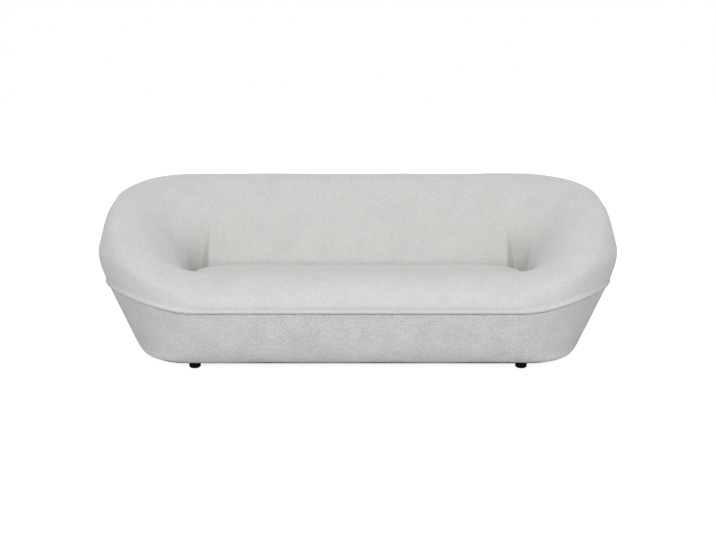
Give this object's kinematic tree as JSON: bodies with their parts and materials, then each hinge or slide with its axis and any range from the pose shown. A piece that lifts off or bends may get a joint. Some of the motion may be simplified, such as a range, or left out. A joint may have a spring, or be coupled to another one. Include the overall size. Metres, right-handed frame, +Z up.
{
  "type": "curved sofa",
  "caption": "Low sofa whose stuffed seat, arms and back flow together as one rounded body, piped on to a tapered upholstered base with stub feet.",
  "frame": {"origin": "on the floor, under the middle of the sofa", "axes": "+X to the right seen from the front, -Y to the front, +Z up"},
  "size_m": [2.37, 0.95, 0.765],
  "materials": {
    "boucle": "curly light grey upholstery fabric, matt",
    "welt": "the same fabric over a cord",
    "foam": "cut upholstery foam",
    "plywood": "birch plywood, unfinished",
    "webbing": "woven elastic webbing",
    "lining": "thin black lining cloth",
    "foot": "black, lightly textured",
    "glide": "dark grey, smooth",
    "steel": "zinc-plated"
  },
  "bodies": {
    "root": {"upper_cover": "boucle", "base_cover": "boucle", "piping": "welt", "seat_foam": "foam", "back_foam": "foam", "right_arm_foam": "foam", "left_arm_foam": "foam", "front_wrap_foam": "foam", "right_wrap_foam": "foam", "back_wrap_foam": "foam", "left_wrap_foam": "foam", "base_foam": "foam", "base_fascia": "plywood", "back_facing": "plywood", "right_arm_rail": "plywood", "back_rail": "plywood", "left_arm_rail": "plywood", "base_panel": "plywood", "deck_panel": "plywood", "base_rib_1": "plywood", "base_rib_2": "plywood", "base_rib_3": "plywood", "base_rib_4": "plywood", "base_rib_5": "plywood", "base_rib_6": "plywood", "base_rib_7": "plywood", "base_rib_8": "plywood", "base_rib_9": "plywood", "back_rib_1": "plywood", "back_rib_2": "plywood", "back_rib_3": "plywood", "back_rib_4": "plywood", "back_rib_5": "plywood", "right_rib_1": "plywood", "right_rib_2": "plywood", "right_rib_3": "plywood", "left_rib_1": "plywood", "left_rib_2": "plywood", "left_rib_3": "plywood", "seat_webbing": "webbing", "back_webbing": "webbing", "dust_cloth": "lining", "front_left_foot": "foot", "front_right_foot": "foot", "rear_left_foot": "foot", "rear_right_foot": "foot", "front_left_glide": "glide", "front_right_glide": "glide", "rear_left_glide": "glide", "rear_right_glide": "glide", "front_left_bolt": "steel", "front_left_tee_nut": "steel", "front_right_bolt": "steel", "front_right_tee_nut": "steel", "rear_left_bolt": "steel", "rear_left_tee_nut": "steel", "rear_right_bolt": "steel", "rear_right_tee_nut": "steel"}
  },
  "joints": []
}
